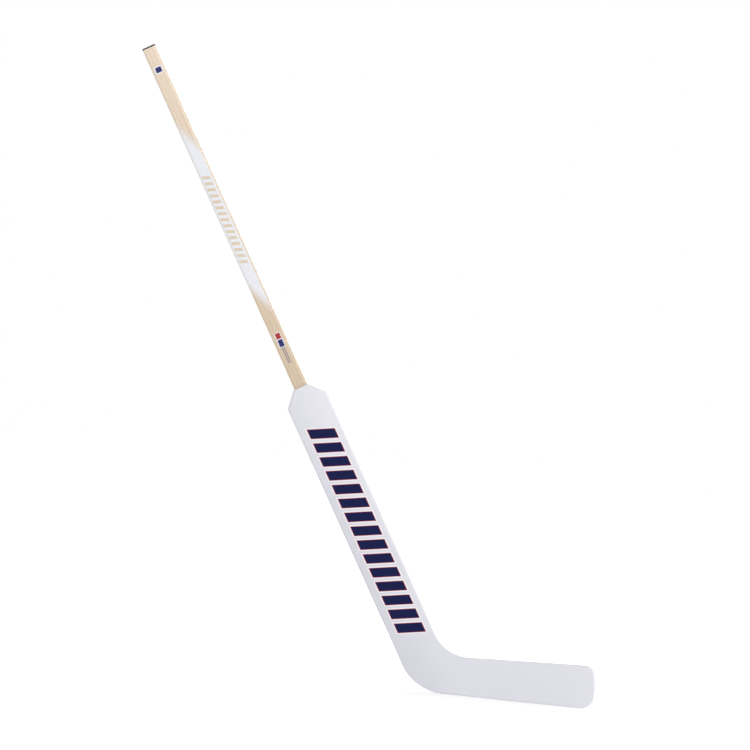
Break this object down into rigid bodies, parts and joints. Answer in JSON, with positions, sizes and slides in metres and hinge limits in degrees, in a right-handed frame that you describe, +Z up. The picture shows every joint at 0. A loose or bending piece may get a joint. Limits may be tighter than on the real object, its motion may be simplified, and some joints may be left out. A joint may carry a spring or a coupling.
{
  "type": "hockey goalie stick",
  "caption": "Foam-core ice hockey goalie stick: laminated timber shaft with a dark end cap, wide white paddle with sloped shoulders, and a curved white blade with rounded heel and toe.",
  "frame": {"origin": "middle of the flat sole, where the blade rests on the ice", "axes": "+Z up from the ice, +X along the sole towards the toe, -Y out of the playing face; the shaft leans 30 degrees from +Z towards -X"},
  "size_m": [1.0542, 0.0293, 1.2609],
  "materials": {
    "birch_ply": "birch face veneer, sanded and clear lacquered to a satin sheen",
    "aspen_ply": "aspen core lamination, sanded and clear lacquered, seen on the shaft's narrow sides",
    "cap_black": "moulded black plastic, satin",
    "painted_skin": "glass-fibre skin under sprayed cool white enamel, with a printed stripe design",
    "edge_hardwood": "poplar strip, sawn and sanded, hidden under the skins",
    "tongue_ash": "planed ash, glued in its slot, hidden",
    "rigid_foam": "closed-cell rigid polyurethane foam, cut, hidden"
  },
  "bodies": {
    "root": {"shaft_face_ply_front": "birch_ply", "shaft_face_ply_back": "birch_ply", "shaft_core_ply_front": "aspen_ply", "shaft_core_ply_back": "aspen_ply", "butt_cap": "cap_black", "paddle_skin_front": "painted_skin", "paddle_skin_back": "painted_skin", "blade_skin_front": "painted_skin", "blade_skin_back": "painted_skin", "paddle_edge_strip_heel_side": "edge_hardwood", "paddle_edge_strip_throat_side": "edge_hardwood", "shoulder_strip_heel_side": "edge_hardwood", "shoulder_strip_throat_side": "edge_hardwood", "blade_sole_strip": "edge_hardwood", "blade_top_strip": "edge_hardwood", "blade_toe_strip": "edge_hardwood", "blade_heel_block": "edge_hardwood", "blade_tongue": "tongue_ash", "paddle_foam_heel_side": "rigid_foam", "paddle_foam_throat_side": "rigid_foam", "blade_foam": "rigid_foam"}
  },
  "joints": []
}
